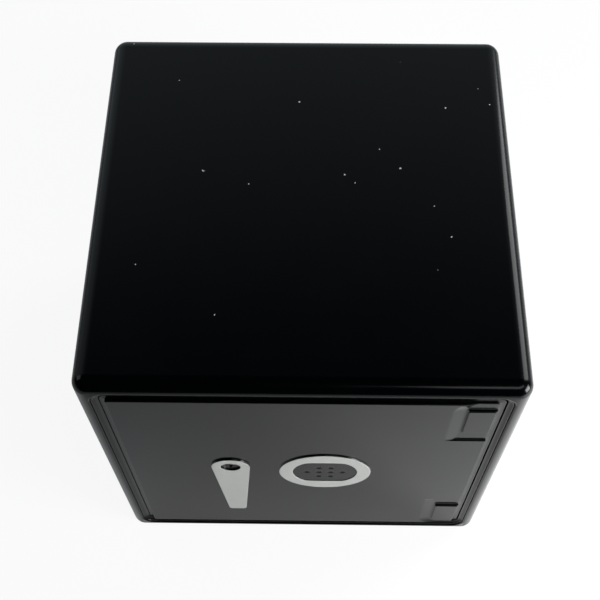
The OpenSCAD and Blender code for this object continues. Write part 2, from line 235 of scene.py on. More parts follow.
def strips(rows, columns, closed_rows=False, closed_columns=True, first=0):
    """Quads of a grid of points that is numbered row by row, joined round where closed."""
    row = np.arange(rows if closed_rows else rows - 1)[:, None]
    column = np.arange(columns if closed_columns else columns - 1)[None, :]
    next_row = (row + 1) % rows
    next_column = (column + 1) % columns
    corners = [row * columns + column, row * columns + next_column,
               next_row * columns + next_column, next_row * columns + column]
    return first + np.stack(corners, axis=-1).reshape(-1, 4)


def fan(ring_start, count, pole):
    """Triangles from each edge of a closed ring to one pole point."""
    place = np.arange(count)
    return np.stack([ring_start + place, ring_start + (place + 1) % count,
                     np.full(count, pole)], axis=-1)


def seam(inner, outer):
    """Quads between two closed loops of point numbers that have the same length."""
    return np.stack([inner, np.roll(inner, -1), np.roll(outer, -1), outer], axis=-1)


def enclosed_volume(points, faces):
    """Volume inside a closed surface: the sum of tetrahedra from the origin to its triangles."""
    total = 0.0
    for group in faces:
        for last in range(2, group.shape[1]):
            a, b, c = points[group[:, 0]], points[group[:, last - 1]], points[group[:, last]]
            total += float(np.einsum("ij,ij->i", a, np.cross(b, c)).sum()) / 6
    return total


def drop_flat_faces(points, group):
    """Leaves out faces whose corners all but coincide, where two rings touch."""
    a, b, c, d = (points[group[:, place]] for place in (0, 1, 2, -1))
    doubled = np.cross(c - a, d - b) if group.shape[1] == 4 else np.cross(b - a, c - a)
    return group[np.linalg.norm(doubled, axis=1) > SMALLEST_FACE]


def make_piece(name, parts, body, replaced=(), material=None):
    """A smooth mesh object from closed surfaces, each given as (points, groups of faces)."""
    points, faces, start = [], [], 0
    for part_points, part_faces in parts:
        outward = enclosed_volume(part_points, part_faces) > 0
        for group in part_faces:
            kept = drop_flat_faces(part_points, group)
            kept = kept if outward else kept[:, ::-1]
            faces += (kept + start).tolist()
        points.append(part_points)
        start += len(part_points)
    mesh = bpy.data.meshes.new(name)
    mesh.from_pydata(np.concatenate(points).tolist(), [], faces)
    mesh.polygons.foreach_set("use_smooth", np.ones(len(mesh.polygons), dtype=bool))
    mesh.validate()
    mesh.update()
    piece = bpy.data.objects.new(name, mesh)
    bpy.context.scene.collection.objects.link(piece)
    if material:
        mesh.materials.append(material)
    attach(piece, body)
    if replaced:
        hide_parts(*replaced)
    return piece


def capped(rings):
    """A closed surface from a stack of matched rings, with a pole in the middle of each end."""
    rings = np.array(rings)
    rows, columns = rings.shape[:2]
    poles = np.stack([rings[0].mean(axis=0), rings[-1].mean(axis=0)])
    points = np.concatenate([rings.reshape(-1, 3), poles])
    last = rows * columns
    return points, [strips(rows, columns), fan(0, columns, last)[:, ::-1],
                    fan(last - columns, columns, last + 1)]


def looped(rings):
    """A closed surface from a stack of matched rings whose last ring joins the first."""
    rings = np.array(rings)
    return rings.reshape(-1, 3), [strips(*rings.shape[:2], closed_rows=True)]


def soft_ramp(t, bend):
    """0 before 0, 1 after 1 and straight between, each bend a parabola over plus or minus bend."""
    def rising(value):
        curve = (value + bend) ** 2 / (4 * bend)
        return np.where(value < -bend, 0, np.where(value > bend, value, curve))
    return rising(t) - rising(t - 1)


def stretches(*spans):
    """Places along an axis: each span (start, end, step) is divided evenly, ends shared."""
    places = [np.linspace(start, end, max(1, round(abs(end - start) / step)) + 1)
              for start, end, step in spans]
    joined = np.concatenate(places)
    return joined[np.concatenate([[True], np.diff(joined) > 1e-7])]


# ---------------------------------------------------------------- shader sums

class Wire:
    """An output socket on which + - and * add Math nodes."""

    def __init__(self, tree, socket):
        self.tree = tree
        self.socket = socket

    def math(self, operation, *values, clamp=False):
        """A Math node on these values."""
        node = self.tree.nodes.new("ShaderNodeMath")
        node.operation = operation
        node.use_clamp = clamp
        for target, value in zip(node.inputs, values):
            plug(self.tree, target, value)
        return Wire(self.tree, node.outputs[0])

    def __add__(self, other):
        return self.math("ADD", self, other)

    def __radd__(self, other):
        return self.math("ADD", other, self)

    def __sub__(self, other):
        return self.math("SUBTRACT", self, other)

    def __rsub__(self, other):
        return self.math("SUBTRACT", other, self)

    def __mul__(self, other):
        return self.math("MULTIPLY", self, other)

    def __rmul__(self, other):
        return self.math("MULTIPLY", other, self)

    def between(self, low, high):
        """0 at low, 1 at high and smooth between; low may be the larger."""
        share_of = self.math("DIVIDE", self - low, high - low, clamp=True)
        return share_of * share_of * (3.0 - 2.0 * share_of)


def plug(tree, target, value):
    """Links a Wire to a socket, or sets the socket's own value."""
    if isinstance(value, Wire):
        tree.links.new(value.socket, target)
    elif isinstance(value, (tuple, list)) and len(value) == 3 and target.type == "RGBA":
        target.default_value = (*value, 1.0)
    else:
        target.default_value = value


class Finish:
    """A material or world being wired up."""

    def __init__(self, owner):
        owner.use_nodes = True
        self.owner = owner
        self.tree = owner.node_tree
        self.tree.nodes.clear()

    def node(self, kind, settings=None, output=0, inputs=None, **sockets):
        """Adds a node: its settings first, then its sockets.

        Sockets are given by number in inputs, or by name with _ for spaces.
        """
        made = self.tree.nodes.new("ShaderNode" + kind)
        for key, value in (settings or {}).items():
            setattr(made, key, value)
        for key, value in (inputs or {}).items():
            plug(self.tree, made.inputs[key], value)
        for key, value in sockets.items():
            plug(self.tree, made.inputs[key.replace("_", " ")], value)
        return Wire(self.tree, made.outputs[output]) if made.outputs else None

    def mix(self, factor, first, second):
        """A colour that goes from first to second."""
        return self.node("Mix", {"data_type": "RGBA"}, 2, {0: factor, 6: first, 7: second})

    def place(self, scale=(1, 1, 1), turn=(0, 0, 0)):
        """Object coordinates through a Mapping node."""
        coordinates = self.node("TexCoord", output="Object")
        return self.node("Mapping", Vector=coordinates, Scale=scale, Rotation=turn)

    def axis(self, index):
        """One object coordinate in metres."""
        return self.node("SeparateXYZ", output=index, Vector=self.place())

    def noise(self, scale, detail=2.0, stretch=(1, 1, 1), turn=(0, 0, 0)):
        """Soft noise from 0 to 1; scale is in cells per metre."""
        return self.node("TexNoise", Vector=self.place(stretch, turn), Scale=scale, Detail=detail)

    def bump(self, height, distance, strength=1.0, below=None):
        """A Bump node on a height from 0 to 1, stacked on another where one is given."""
        under = {"Normal": below} if below else {}
        return self.node("Bump", Strength=strength, Distance=distance, Height=height, **under)

    def surface(self, shader):
        """Links a shader to the output."""
        world = isinstance(self.owner, bpy.types.World)
        self.node("OutputWorld" if world else "OutputMaterial", Surface=shader)
        return self.owner

    def principled(self, **sockets):
        """Ends the material with one Principled shader."""
        return self.surface(self.node("BsdfPrincipled", **sockets))


# ---------------------------------------------------------------- materials

FINISHES = {}


def finish_named(name):
    """Builds a material once and keeps it by name."""
    if name not in FINISHES:
        FINISHES[name] = MAKERS[name](Finish(bpy.data.materials.new(name)))
    return FINISHES[name]


def shade(colour_of, factor):
    """A colour times a number."""
    return tuple(factor * value for value in colour_of)


def dust_specks(finish):
    """1 on sparse specks and short fibres that lie on the cabinet's top, 0 elsewhere."""
    bend = finish.node("TexNoise", {"noise_dimensions": "3D"}, output="Color",
                       Vector=finish.place(), Scale=900.0)
    shift = finish.node("VectorMath", {"operation": "SCALE"}, Vector=bend, Scale=0.0011)
    warped = finish.node("VectorMath", {"operation": "ADD"}, inputs={0: finish.place(), 1: shift})
    level = float(CABINET_HIGH[2])
    top = finish.axis(2).between(level - 0.9 * MM, level - 0.3 * MM)
    specks = None
    # cells per metre, size of a speck as a share of a cell, share of the cells that stay empty
    for cells, size, rarity in ((85.0, 0.022, 0.84), (160.0, 0.032, 0.94)):
        flat = {"voronoi_dimensions": "2D"}
        distance = finish.node("TexVoronoi", flat, "Distance", Vector=warped, Scale=cells)
        lot = finish.node("TexVoronoi", flat, "Color", Vector=warped, Scale=cells)
        chance = finish.node("SeparateColor", output=0, Color=lot)
        near = distance.between(size, size * 0.35) * chance.between(rarity, rarity + 0.02)
        specks = near if specks is None else specks + near
    return specks * top


def black_plastic(finish, dusty=False):
    """Gloss black moulded plastic: faint handling marks, slight sink waves and fine scuffs."""
    settings = bpy.context.scene.bank_finish
    black = tuple(settings.black)
    base = finish.mix(finish.noise(38.0, 3.0), black, shade(black, 1.6))
    smudge = finish.noise(70.0, 4.0).between(0.42, 0.72)
    grain = finish.noise(2600.0, 2.0)
    scuff = finish.noise(420.0, 2.0, stretch=(1, 9, 1), turn=(0, 0, 0.5)).between(0.63, 0.80)
    roughness = settings.black_gloss + 0.035 * smudge + 0.05 * scuff + 0.02 * grain
    waves = finish.bump(finish.noise(26.0, 1.0), 0.10 * MM, 0.35)
    normal = finish.bump(grain, 0.004 * MM, 0.5, below=waves)
    if dusty:
        specks = dust_specks(finish)
        level = settings.dust
        base = finish.mix(specks, base, (level, level, level * 0.96))
        roughness = roughness + 0.5 * specks
    return finish.principled(Base_Color=base, Roughness=roughness, Normal=normal,
                             Specular_IOR_Level=settings.reflect)


def painted_face(finish):
    """Light grey paint rolled on to a raised face, over black plastic that shows down its sides."""
    settings = bpy.context.scene.bank_finish
    edge = bpy.context.scene.bank_fittings.paint_edge
    face = float(box_of("handle_lever")[0][1])
    ring_face = float(box_of("keypad_bezel")[0][1])
    depth = finish.axis(1)
    right = finish.axis(0).between(-10 * MM, -9 * MM)
    face_here = face + (ring_face - face) * right
    ragged = (finish.noise(900.0, 3.0) - 0.5) * (0.05 * MM)
    paint = (depth - face_here + ragged).between(edge, edge * 0.6)
    mottle = finish.noise(300.0, 4.0)
    thin = finish.noise(1500.0, 2.0).between(0.60, 0.78)
    grey = tuple(settings.paint)
    pale = finish.mix(mottle, shade(grey, 0.93), shade(grey, 1.05))
    pale = finish.mix(0.18 * thin, pale, shade(grey, 0.6))
    base = finish.mix(paint, tuple(settings.black), pale)
    normal = finish.bump(finish.noise(1800.0, 3.0), 0.006 * MM, 0.5)
    return finish.principled(Base_Color=base, Roughness=0.16 + 0.24 * paint + 0.05 * mottle,
                             Normal=normal, Specular_IOR_Level=0.35)


def keypad_plastic(finish):
    """Satin dark grey plastic with a fine moulded grain."""
    dark = tuple(bpy.context.scene.bank_finish.keypad)
    grain = finish.noise(2200.0, 3.0)
    base = finish.mix(grain, dark, shade(dark, 1.5))
    return finish.principled(Base_Color=base, Roughness=0.22 + 0.08 * grain,
                             Normal=finish.bump(grain, 0.006 * MM, 0.6), Specular_IOR_Level=0.09)


def liner_plastic(finish):
    """Matte black plastic with the even sparkle of an eroded mould."""
    cells = finish.node("TexVoronoi", output="Distance", Vector=finish.place(), Scale=2400.0)
    base = finish.mix(finish.noise(60.0, 3.0), (0.012, 0.012, 0.013), (0.022, 0.022, 0.023))
    return finish.principled(Base_Color=base, Roughness=0.45 + 0.15 * cells,
                             Normal=finish.bump(cells, 0.02 * MM, 0.5))


def natural_plastic(finish):
    """Unpigmented bearing plastic, milky with faint flow lines."""
    flow = finish.noise(240.0, 3.0, stretch=(1, 1, 5))
    base = finish.mix(flow, (0.56, 0.54, 0.47), (0.68, 0.66, 0.60))
    return finish.principled(Base_Color=base, Roughness=0.35 + 0.12 * flow,
                             Normal=finish.bump(flow, 0.01 * MM, 0.4))


def plated_steel(finish):
    """Zinc plated steel, pale, with faint streaks along Z and slight clouds."""
    bright = tuple(bpy.context.scene.bank_finish.steel)
    streak = finish.noise(900.0, 3.0, stretch=(1, 1, 8))
    cloud = finish.noise(160.0, 3.0)
    base = finish.mix(0.6 * streak + 0.4 * cloud, shade(bright, 0.8), bright)
    return finish.principled(Base_Color=base, Metallic=1.0, Roughness=0.22 + 0.20 * cloud,
                             Normal=finish.bump(streak, 0.01 * MM, 0.5))


def dark_steel(finish):
    """Black coated steel, with the bare metal just showing in worn spots."""
    worn = finish.noise(1300.0, 4.0).between(0.62, 0.72)
    cloud = finish.noise(300.0, 2.0)
    coat = finish.mix(cloud, (0.012, 0.012, 0.013), (0.022, 0.022, 0.023))
    base = finish.mix(0.4 * worn, coat, (0.20, 0.20, 0.21))
    return finish.principled(Base_Color=base, Metallic=0.5 * worn, Roughness=0.28 + 0.15 * cloud,
                             Normal=finish.bump(cloud, 0.008 * MM, 0.5))


def floor_paper(finish):
    """Pale studio paper with a fine tooth, which looks nearly white where it is seen directly."""
    pale = tuple(bpy.context.scene.bank_stage.floor)
    base = finish.mix(finish.noise(500.0, 3.0), shade(pale, 0.985), pale)
    paper = finish.node("BsdfPrincipled", Base_Color=base, Roughness=0.9, Specular_IOR_Level=0.1)
    lift = finish.node("Emission", Color=(1.0, 1.0, 1.0), Strength=1.0)
    seen = finish.node("LightPath", output="Is Camera Ray")
    return finish.surface(finish.node("MixShader", inputs={0: 0.9 * seen, 1: paper, 2: lift}))


MAKERS = {
    "black_plastic": black_plastic,
    "black_plastic_dusty": lambda finish: black_plastic(finish, dusty=True),
    "painted_face": painted_face,
    "keypad_plastic": keypad_plastic,
    "liner_plastic": liner_plastic,
    "natural_plastic": natural_plastic,
    "plated_steel": plated_steel,
    "dark_steel": dark_steel,
    "floor_paper": floor_paper,
}


# ---------------------------------------------------------------- cabinet

def slot_ring(outer, growth, depth, slot_box):
    """The coin slot's outline grown by an amount, matched to the places of an outer ring.

    Each place is the point of the slot nearest to its outer place: the nearest point of the
    slot's middle line, plus the slot's half height towards the outer place.
    """
    half_line, half_height, centre_z = slot_box
    x = outer[:, 0]
    z = outer[:, 2] - MIDDLE - centre_z
    core = np.clip(x, -half_line, half_line)
    away = np.stack([x - core, z], axis=1)
    away /= np.linalg.norm(away, axis=1)[:, None]
    reach = half_height + growth
    return upright(core + away[:, 0] * reach, np.full_like(x, depth),
                   centre_z + away[:, 1] * reach)


def shell_rings(settings, slot_box):
    """Rings of the shell, from the slot's outer edge over the outside to its inner edge."""
    edge = settings.edge_round
    rim = settings.rim_round
    wall = settings.wall
    deep = CABINET_DEPTH
    places = Outline(12, (0.002, 0.02, 0.15, 0.3, 0.4, 0.46, 0.54, 0.6, 0.7, 0.85, 0.98, 0.998))

    def ring(inset, radius, depth):
        return places.ring(CABINET_WIDTH - 2 * inset, CABINET_HEIGHT - 2 * inset, radius, depth)

    back = ring(edge + SUPPORT, TINY, deep)
    inner_back = ring(wall + edge, TINY, deep - wall)
    slot = settings.slot_round
    rows = [slot_ring(back, slot * (1 - c), deep - slot * (1 - s), slot_box)
            for s, c in arc(0, 90, 6)]
    rows += [slot_ring(back, slot + SUPPORT, deep, slot_box), back]
    rows += [ring(edge * (1 - s), max(edge * s, TINY), deep - edge * (1 - c))
             for s, c in arc(0, 90, 12)]
    rows += [ring(0, edge, depth) for depth in (deep - edge - SUPPORT, 0.75 * deep, 0.5 * deep,
                                                0.25 * deep, edge + SUPPORT)]
    lean = math.degrees(math.asin((rim - (wall - edge)) / (edge - rim)))
    rows += [ring(edge * (1 - s), max(edge * s, TINY), edge * (1 - c))
             for s, c in arc(90, lean, 14)]
    centre_inset = wall - rim
    centre_depth = edge - (edge - rim) * math.cos(math.radians(lean))
    corner = settings.rim_corner
    for s, c in arc(-lean, 90, 10):
        inset = centre_inset + rim * s
        rows.append(ring(inset + (SUPPORT if s < 0 else 0), corner + rim * (1 - s),
                         centre_depth - rim * c))
    rows += [ring(wall, corner, depth) for depth in (centre_depth + SUPPORT, 9 * MM, 0.5 * deep)]
    hollow = 1.0 * MM
    rows += [ring(wall + hollow * (1 - c), corner - hollow * (1 - c), deep - wall - hollow * (1 - s))
             for s, c in arc(0, 90, 6)]
    rows.append(ring(wall + hollow + SUPPORT, corner - hollow, deep - wall))
    rows.append(slot_ring(inner_back, slot + SUPPORT, deep - wall, slot_box))
    rows += [slot_ring(inner_back, slot * (1 - c), deep - wall + slot * (1 - s), slot_box)
             for s, c in arc(90, 0, 5)]
    return rows


def corner_post(sign_x, sign_z, settings):
    """A square post in one inner corner of the cabinet, with its free edge rounded."""
    post, edge = 5.0 * MM, 0.3 * MM
    front, rear = 9.05 * MM, 24.0 * MM
    reach = CABINET_WIDTH / 2 - settings.wall - post / 2
    places = Outline(4, (0.5,))

    def ring(s, depth):
        side = post - 2 * edge * (1 - s)
        return places.ring(side, side, edge, depth, (sign_x * reach, sign_z * reach))

    return capped([ring(s, front + edge * (1 - c)) for s, c in arc(0, 90, 3)]
                  + [ring(s, rear - edge * (1 - c)) for s, c in arc(90, 0, 3)])


class BANK_OT_cabinet_shell(bpy.types.Operator):
    """Builds the one-piece shell: rounded outside, rim, inside walls and the coin slot."""
    bl_idname = "bank.cabinet_shell"
    bl_label = "Cabinet Shell"

    def execute(self, context):
        settings = context.scene.bank_cabinet
        opening = next(item for item in OPENINGS if item["name"] == "coin_slot")
        low, high = np.array(opening["box_m"])
        half_height = settings.slot_height / 2
        line = (settings.slot_width / 2 - half_height, half_height,
                (low[2] + high[2]) / 2 - MIDDLE)
        parts = [looped(shell_rings(settings, line))]
        parts += [corner_post(x, z, settings) for x in (-1, 1) for z in (-1, 1)]
        make_piece("safe_shell", parts, "cabinet", ["cabinet_shell"],
                   finish_named("black_plastic_dusty"))
        return {"FINISHED"}


def lip_sweep(points, half_width, front, rear, edge):
    """A flat bar with rounded edges carried along a bent line, mitred at the bends.

    The section is an Outline ring: its width lies across the line and its height along depth.
    """
    section = Outline(3, (0.5,))
    across = section.across * (half_width - edge) + section.out[:, 0] * edge
    depth = ((front + rear) / 2 + section.up * ((rear - front) / 2 - edge)
             + section.out[:, 1] * edge)
    points = np.array(points)
    steps = np.diff(points, axis=0)
    steps /= np.linalg.norm(steps, axis=1)[:, None]
    sides = np.stack([-steps[:, 1], steps[:, 0]], axis=1)
    rows = []
    for index, point in enumerate(points):
        before = sides[max(index - 1, 0)]
        after = sides[min(index, len(sides) - 1)]
        mitre = (before + after) / (1 + before @ after)
        rows.append(upright(point[0] + mitre[0] * across, depth, point[1] + mitre[1] * across))
    return capped(rows)


class BANK_OT_front_frame(bpy.types.Operator):
    """Builds the frame in the front: channel floor, jamb and the lip that the door closes on."""
    bl_idname = "bank.front_frame"
    bl_label = "Front Frame"

    def execute(self, context):
        settings = context.scene.bank_cabinet
        low, high = box_of("front_frame")
        outer = high[0] - low[0]
        front, rear = context.scene.bank_door.step_depth, high[1] - FRONT
        step_low, step_high = box_of("door_panel")
        width = step_high[0] - step_low[0] + DOOR_GAP + HINGE_GAP
        height = step_high[2] - step_low[2] + 2 * DOOR_GAP
        centre = ((HINGE_GAP - DOOR_GAP) / 2, 0.0)
        corner = settings.rim_corner
        inner_corner = settings.jamb_corner
        jamb = settings.jamb_round
        places = Outline(10, (0.004, 0.5, 0.996))

        def opening(grow, depth, relief=0.1 * MM):
            ring = places.ring(width + 2 * grow, height + 2 * grow, inner_corner + grow, depth,
                               centre)
            ring[:, 0] += relief * np.maximum(places.out[:, 0], 0)
            return ring

        def outside(inset, depth):
            return places.ring(outer - 2 * inset, outer - 2 * inset, corner - inset, depth)

        rows = [opening(jamb * (1 - c), front + jamb * (1 - s)) for s, c in arc(0, 90, 5)]
        rows.append(opening(jamb + SUPPORT, front))
        hollow, foot = settings.slope_round, 1.0 * MM
        rows.append(outside(foot + SUPPORT, front))
        rows += [outside(foot - hollow * s, front - hollow * (1 - c)) for s, c in arc(0, 45, 6)]
        slope_top = front - 0.5 * MM
        rows += [outside(TINY, slope_top - SUPPORT), outside(0, slope_top), outside(0, rear)]
        clear = 0.5 * MM
        rows += [opening(0, rear, clear), opening(0, front + 0.7 * MM, clear),
                 opening(0, front + 0.5 * MM)]
        parts = [looped(rows)]
        left, top = -width / 2 + centre[0] + LIP_WIDTH / 2, height / 2 - LIP_WIDTH / 2
        path = [(LIP_END, -top), (left, -top), (left, top), (LIP_END, top)]
        parts.append(lip_sweep(path, LIP_WIDTH / 2 + DOOR_GAP, LIP_DEPTH, rear - TINY, 0.15 * MM))
        make_piece("front_frame_moulding", parts, "cabinet", ["front_frame"],
                   finish_named("black_plastic"))
        return {"FINISHED"}


# ---------------------------------------------------------------- door

def pocket_depth_at(x, z, settings, half, block):
    """Depth of the two hinge pockets at places on the door, 0 elsewhere.

    The depth is the pocket's own depth, times a ramp that runs in from the left rim, times a
    steep ramp at the end nearer the door's middle. The rim bends round by the corner radius at
    the door's edge. Next to the block the floor sweeps up in a quarter circle.
    """
    from_middle = np.abs(z)
    radius = settings.pocket_corner
    rim = half - settings.pocket_width
    past = np.clip(from_middle - (half - radius), 0, radius)
    rim = rim + radius - np.sqrt(radius ** 2 - past ** 2)
    inner_end = half - settings.pocket_height
    inner_radius = 1.0 * MM
    short = np.clip(inner_end + inner_radius - from_middle, 0, inner_radius)
    rim = rim + inner_radius - np.sqrt(inner_radius ** 2 - short ** 2)
    slope = soft_ramp((x - rim) / settings.pocket_slope, 0.10)
    end = soft_ramp((from_middle - inner_end) / (0.30 * MM), 0.35)     # a steep, soft step
    depth = settings.pocket_depth * slope * end
    low, high = block
    flare = settings.block_flare
    beside = np.maximum(np.maximum(low[0] - x, x - high[0]), 0)
    above = np.maximum(np.maximum(low[1] - from_middle, from_middle - high[1]), 0)
    gap = np.clip(np.hypot(3 * beside, above), 0, flare)
    sweep = flare - np.sqrt(np.maximum(flare ** 2 - (flare - gap) ** 2, 0))
    return np.maximum(depth - sweep * (depth / settings.pocket_depth), 0)


def round_corners(x, z, half, radius):
    """Moves a square grid's corner squares into quarter discs, and gives outward directions.

    In a corner square the larger of the two coordinates becomes the distance from the corner's
    centre, and their ratio becomes the angle.
    """
    core = half - radius
    a = np.clip(np.abs(x) - core, 0, radius)
    b = np.clip(np.abs(z) - core, 0, radius)
    reach = np.maximum(a, b)
    with np.errstate(divide="ignore", invalid="ignore"):
        angle = np.where(a >= b, math.pi / 4 * b / a, math.pi / 2 - math.pi / 4 * a / b)
    inside = (a > 0) & (b > 0)
    angle = np.where(inside, angle, np.where(a > 0, 0.0, math.pi / 2))
    x_new = np.where(inside, np.sign(x) * (core + reach * np.cos(angle)), x)
    z_new = np.where(inside, np.sign(z) * (core + reach * np.sin(angle)), z)
    out = np.stack([np.sign(x) * np.cos(angle), np.sign(z) * np.sin(angle)], axis=-1)
    return x_new, z_new, out


def perimeter(rows, columns):
    """Indices round the edge of a grid that is numbered row by row, from its first corner."""
    bottom = np.arange(columns - 1)
    right = np.arange(rows - 1) * columns + columns - 1
    top = (rows - 1) * columns + np.arange(columns - 1, 0, -1)
    left = np.arange(rows - 1, 0, -1) * columns
    return np.concatenate([bottom, right, top, left])


def door_surface(settings, half, thickness, cavity, block, hub):
    """The door: a front grid sunk by the pockets, carried over its edges to the back.

    The front is a square grid with rounded corners. Its edge points go round the edge rounding,
    down to the step, over it and along the sides, over the back to the hollow for the liner and
    down into it. Round the hub a window of the grid is left out. There the grid's points go
    straight towards the middle of the hub's hole and down its wall to a blind floor.
    """
    edge = settings.edge_round
    flat = half - edge
    fine, medium, coarse = 0.16 * MM, 0.9 * MM, 3.0 * MM
    pocket_left = half - settings.pocket_width
    block_low, block_high = block
    reach = settings.hub_hole + 1.1 * MM          # half the window round the hub
    margin, bend, tight = 1.2 * MM, 1.1 * MM, 0.08 * MM
    west, east = hub[0] - reach, hub[0] + reach
    ramp = pocket_left - 0.6 * MM
    block_start = block_low[0] + 0.2 * MM
    x_lines = stretches((-flat, margin - flat, 0.2 * MM), (margin - flat, west, coarse),
                        (west, east, medium), (east, ramp, coarse), (ramp, block_start, fine),
                        (block_start, flat - margin, 0.5 * MM), (flat - margin, flat, 0.1 * MM))
    end = half - settings.pocket_height
    inner_bend, outer_bend = block_low[1] - bend, block_high[1] + bend
    block_foot, block_top = block_low[1] + 0.1 * MM, block_high[1] - 0.1 * MM
    outer_z = stretches((end - 0.3 * MM, end + 1.6 * MM, tight),
                        (end + 1.6 * MM, inner_bend, 0.5 * MM), (inner_bend, block_foot, tight),
                        (block_foot, block_top, 0.6 * MM), (block_top, outer_bend, tight),
                        (outer_bend, flat, fine))
    inner_z = stretches((-outer_z[0], hub[1] - reach, coarse),
                        (hub[1] - reach, hub[1] + reach, medium),
                        (hub[1] + reach, outer_z[0], coarse))
    z_lines = np.concatenate([-outer_z[:0:-1], inner_z, outer_z[1:]])
    x, z = np.meshgrid(x_lines, z_lines)
    x, z, out = round_corners(x, z, flat, settings.corner - edge)
    sunk = pocket_depth_at(x, z, settings, half, block)
    rows, columns = x.shape
    front = upright(x, sunk, z).reshape(-1, 3)
    border = perimeter(rows, columns)
    bx, bz = x.reshape(-1)[border], z.reshape(-1)[border]
    bout = out.reshape(-1, 2)[border]
    bsunk = sunk.reshape(-1)[border]
    step, step_depth = settings.step_width, settings.step_depth

    def outer(grow, depth, lip=0.0):
        left_over = bsunk * max(0.0, 1 - depth / step_depth)
        grown = grow + 0.01 * min(depth, step_depth)          # with a slight draft
        grown_x = grown + lip * np.where(bout[:, 0] > 0, 1.0, LIP_SHARE)
        return upright(bx + bout[:, 0] * grown_x, depth + left_over,
                       bz + bout[:, 1] * (grown + LIP_SHARE * lip))

    def hollow(grow, depth):
        low, high = cavity
        scale = (high - low + 2 * grow) / (2 * half)
        middle = (low + high) / 2
        return upright(middle[0] + (bx + bout[:, 0] * edge) * scale[0], np.full_like(bx, depth),
                       middle[1] + (bz + bout[:, 1] * edge) * scale[1])

    soft = 0.15 * MM
    side = edge + step
    lip = settings.hinge_lip
    rings = [outer(edge * s, edge * (1 - c)) for s, c in arc(0, 90, 4)[1:]]
    rings += [outer(edge, edge + SUPPORT), outer(edge, step_depth - SUPPORT),
              outer(edge + SUPPORT, step_depth), outer(side - soft - SUPPORT, step_depth, lip)]
    rings += [outer(side - soft * (1 - s), step_depth + soft * (1 - c), lip)
              for s, c in arc(0, 90, 3)]
    rings.append(outer(side, step_depth + 2 * soft))
    rings += [outer(side - soft * (1 - c), thickness - soft * (1 - s)) for s, c in arc(0, 90, 3)]
    rings.append(outer(side - soft - SUPPORT, thickness))
    rings += [hollow(soft + SUPPORT, thickness)]
    rings += [hollow(soft * (1 - s), thickness - soft * (1 - c)) for s, c in arc(0, 90, 3)]
    floor = thickness - 2.6 * MM
    rings += [hollow(0, floor), hollow(-SUPPORT, floor)]
    around = len(border)
    first = len(front)
    last = first + (len(rings) - 1) * around
    pole = last + around
    points = [front, np.concatenate(rings), rings[-1].mean(axis=0)[None]]

    grid = np.arange(rows * columns).reshape(rows, columns)
    inside_x = (x_lines > hub[0] - reach - TINY) & (x_lines < hub[0] + reach + TINY)
    inside_z = (z_lines > hub[1] - reach - TINY) & (z_lines < hub[1] + reach + TINY)
    window = grid[np.ix_(inside_z, inside_x)]
    mouth = window.reshape(-1)[perimeter(*window.shape)]
    away = np.stack([x.reshape(-1)[mouth] - hub[0], z.reshape(-1)[mouth] - hub[1]], axis=1)
    away /= np.linalg.norm(away, axis=1)[:, None]
    hole = settings.hub_hole

    def circle(radius, depth):
        return upright(hub[0] + away[:, 0] * radius, np.full(len(away), depth),
                       hub[1] + away[:, 1] * radius)

    lead = 0.1 * MM
    bore = [circle(hole + 0.5 * MM, 0), circle(hole + lead + SUPPORT, 0)]
    bore += [circle(hole + lead * (1 - s), lead * (1 - c)) for s, c in arc(0, 90, 3)]
    bore += [circle(hole, lead + SUPPORT), circle(hole, BLIND_HOLE - SUPPORT),
             circle(hole - SUPPORT, BLIND_HOLE)]
    start = pole + 1
    end_start = start + (len(bore) - 1) * len(mouth)
    points += [np.concatenate(bore), circle(0, BLIND_HOLE)[:1]]
    quads = strips(rows, columns, closed_columns=False)[:, ::-1].reshape(rows - 1, columns - 1, 4)
    left_out = (inside_z[:-1] & inside_z[1:])[:, None] & (inside_x[:-1] & inside_x[1:])[None, :]
    faces = [quads[~left_out], seam(border, first + np.arange(around)),
             strips(len(rings), around, first=first), fan(last, around, pole),
             seam(mouth, start + np.arange(len(mouth)))[:, ::-1],
             strips(len(bore), len(mouth), first=start)[:, ::-1],
             fan(end_start, len(mouth), end_start + len(mouth))[:, ::-1]]
    return np.concatenate(points), faces


def block_extent():
    """Lowest and highest x and distance from the door's middle of the upper hinge block's face."""
    low, high = box_of("hinge_block_upper")
    return (np.array([low[0], low[2] - MIDDLE]), np.array([high[0], high[2] - MIDDLE]))


class BANK_OT_door_panel(bpy.types.Operator):
    """Builds the door with its hinge pockets and the hollow for the liner."""
    bl_idname = "bank.door_panel"
    bl_label = "Door Panel"

    def execute(self, context):
        settings = context.scene.bank_door
        low, high = box_of("door_panel")
        liner_low, liner_high = box_of("door_liner")
        gap = 0.2 * MM
        cavity = (np.array([liner_low[0] - gap, liner_low[2] - MIDDLE - gap]),
                  np.array([liner_high[0] + gap, liner_high[2] - MIDDLE + gap]))
        lever_low, lever_high = box_of("handle_lever")
        head = (lever_high[0] - lever_low[0]) / 2
        hub = (lever_low[0] + head, lever_high[2] - head - MIDDLE)
        half = (high[0] - low[0]) / 2 - settings.step_width
        surface = door_surface(settings, half, high[1] - low[1], cavity, block_extent(), hub)
        make_piece("door_moulding", [surface], "door", ["door_panel"],
                   finish_named("black_plastic"))
        return {"FINISHED"}


